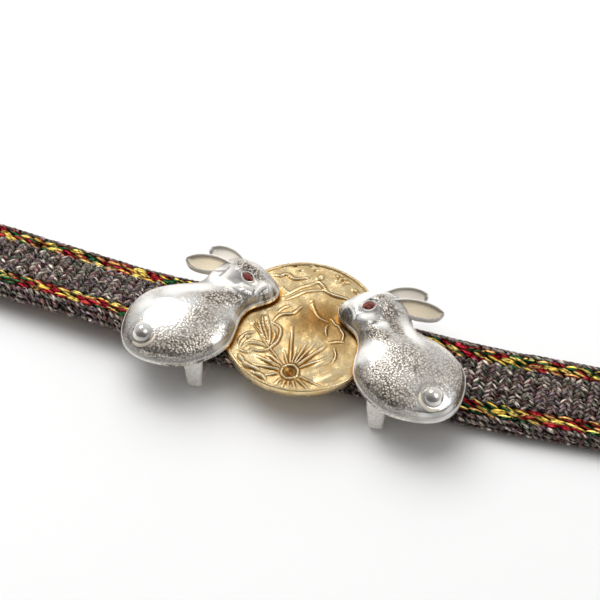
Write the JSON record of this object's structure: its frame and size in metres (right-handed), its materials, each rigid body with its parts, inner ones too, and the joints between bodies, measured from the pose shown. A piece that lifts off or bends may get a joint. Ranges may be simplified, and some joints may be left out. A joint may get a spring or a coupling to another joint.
{
  "type": "obidome on a flat braided sash cord",
  "caption": "Sash ornament: a gold moon disc between two silver rabbits with back loops, on a flat braided cord.",
  "frame": {"origin": "centre of the moon disc, seen from the front, on the surface that the back loops lie on", "axes": "+X along the sash cord, +Y towards the rabbits' ears, +Z out of the front of the ornament"},
  "size_m": [0.0828, 0.0187, 0.0083],
  "materials": {
    "silver": "cast silver, polished on the crests, with fine dark stipple",
    "gold": "gold-plated cast relief, satin in the grounds and bright on the ridges",
    "garnet": "polished faceted red-orange stone",
    "silk_braid": "flat braided silk, dark grey with red, gold and green rows"
  },
  "bodies": {
    "root": {"left_rabbit": "silver", "right_rabbit": "silver", "moon_disc": "gold", "left_eye": "garnet", "right_eye": "garnet", "sash_cord": "silk_braid"}
  },
  "joints": []
}
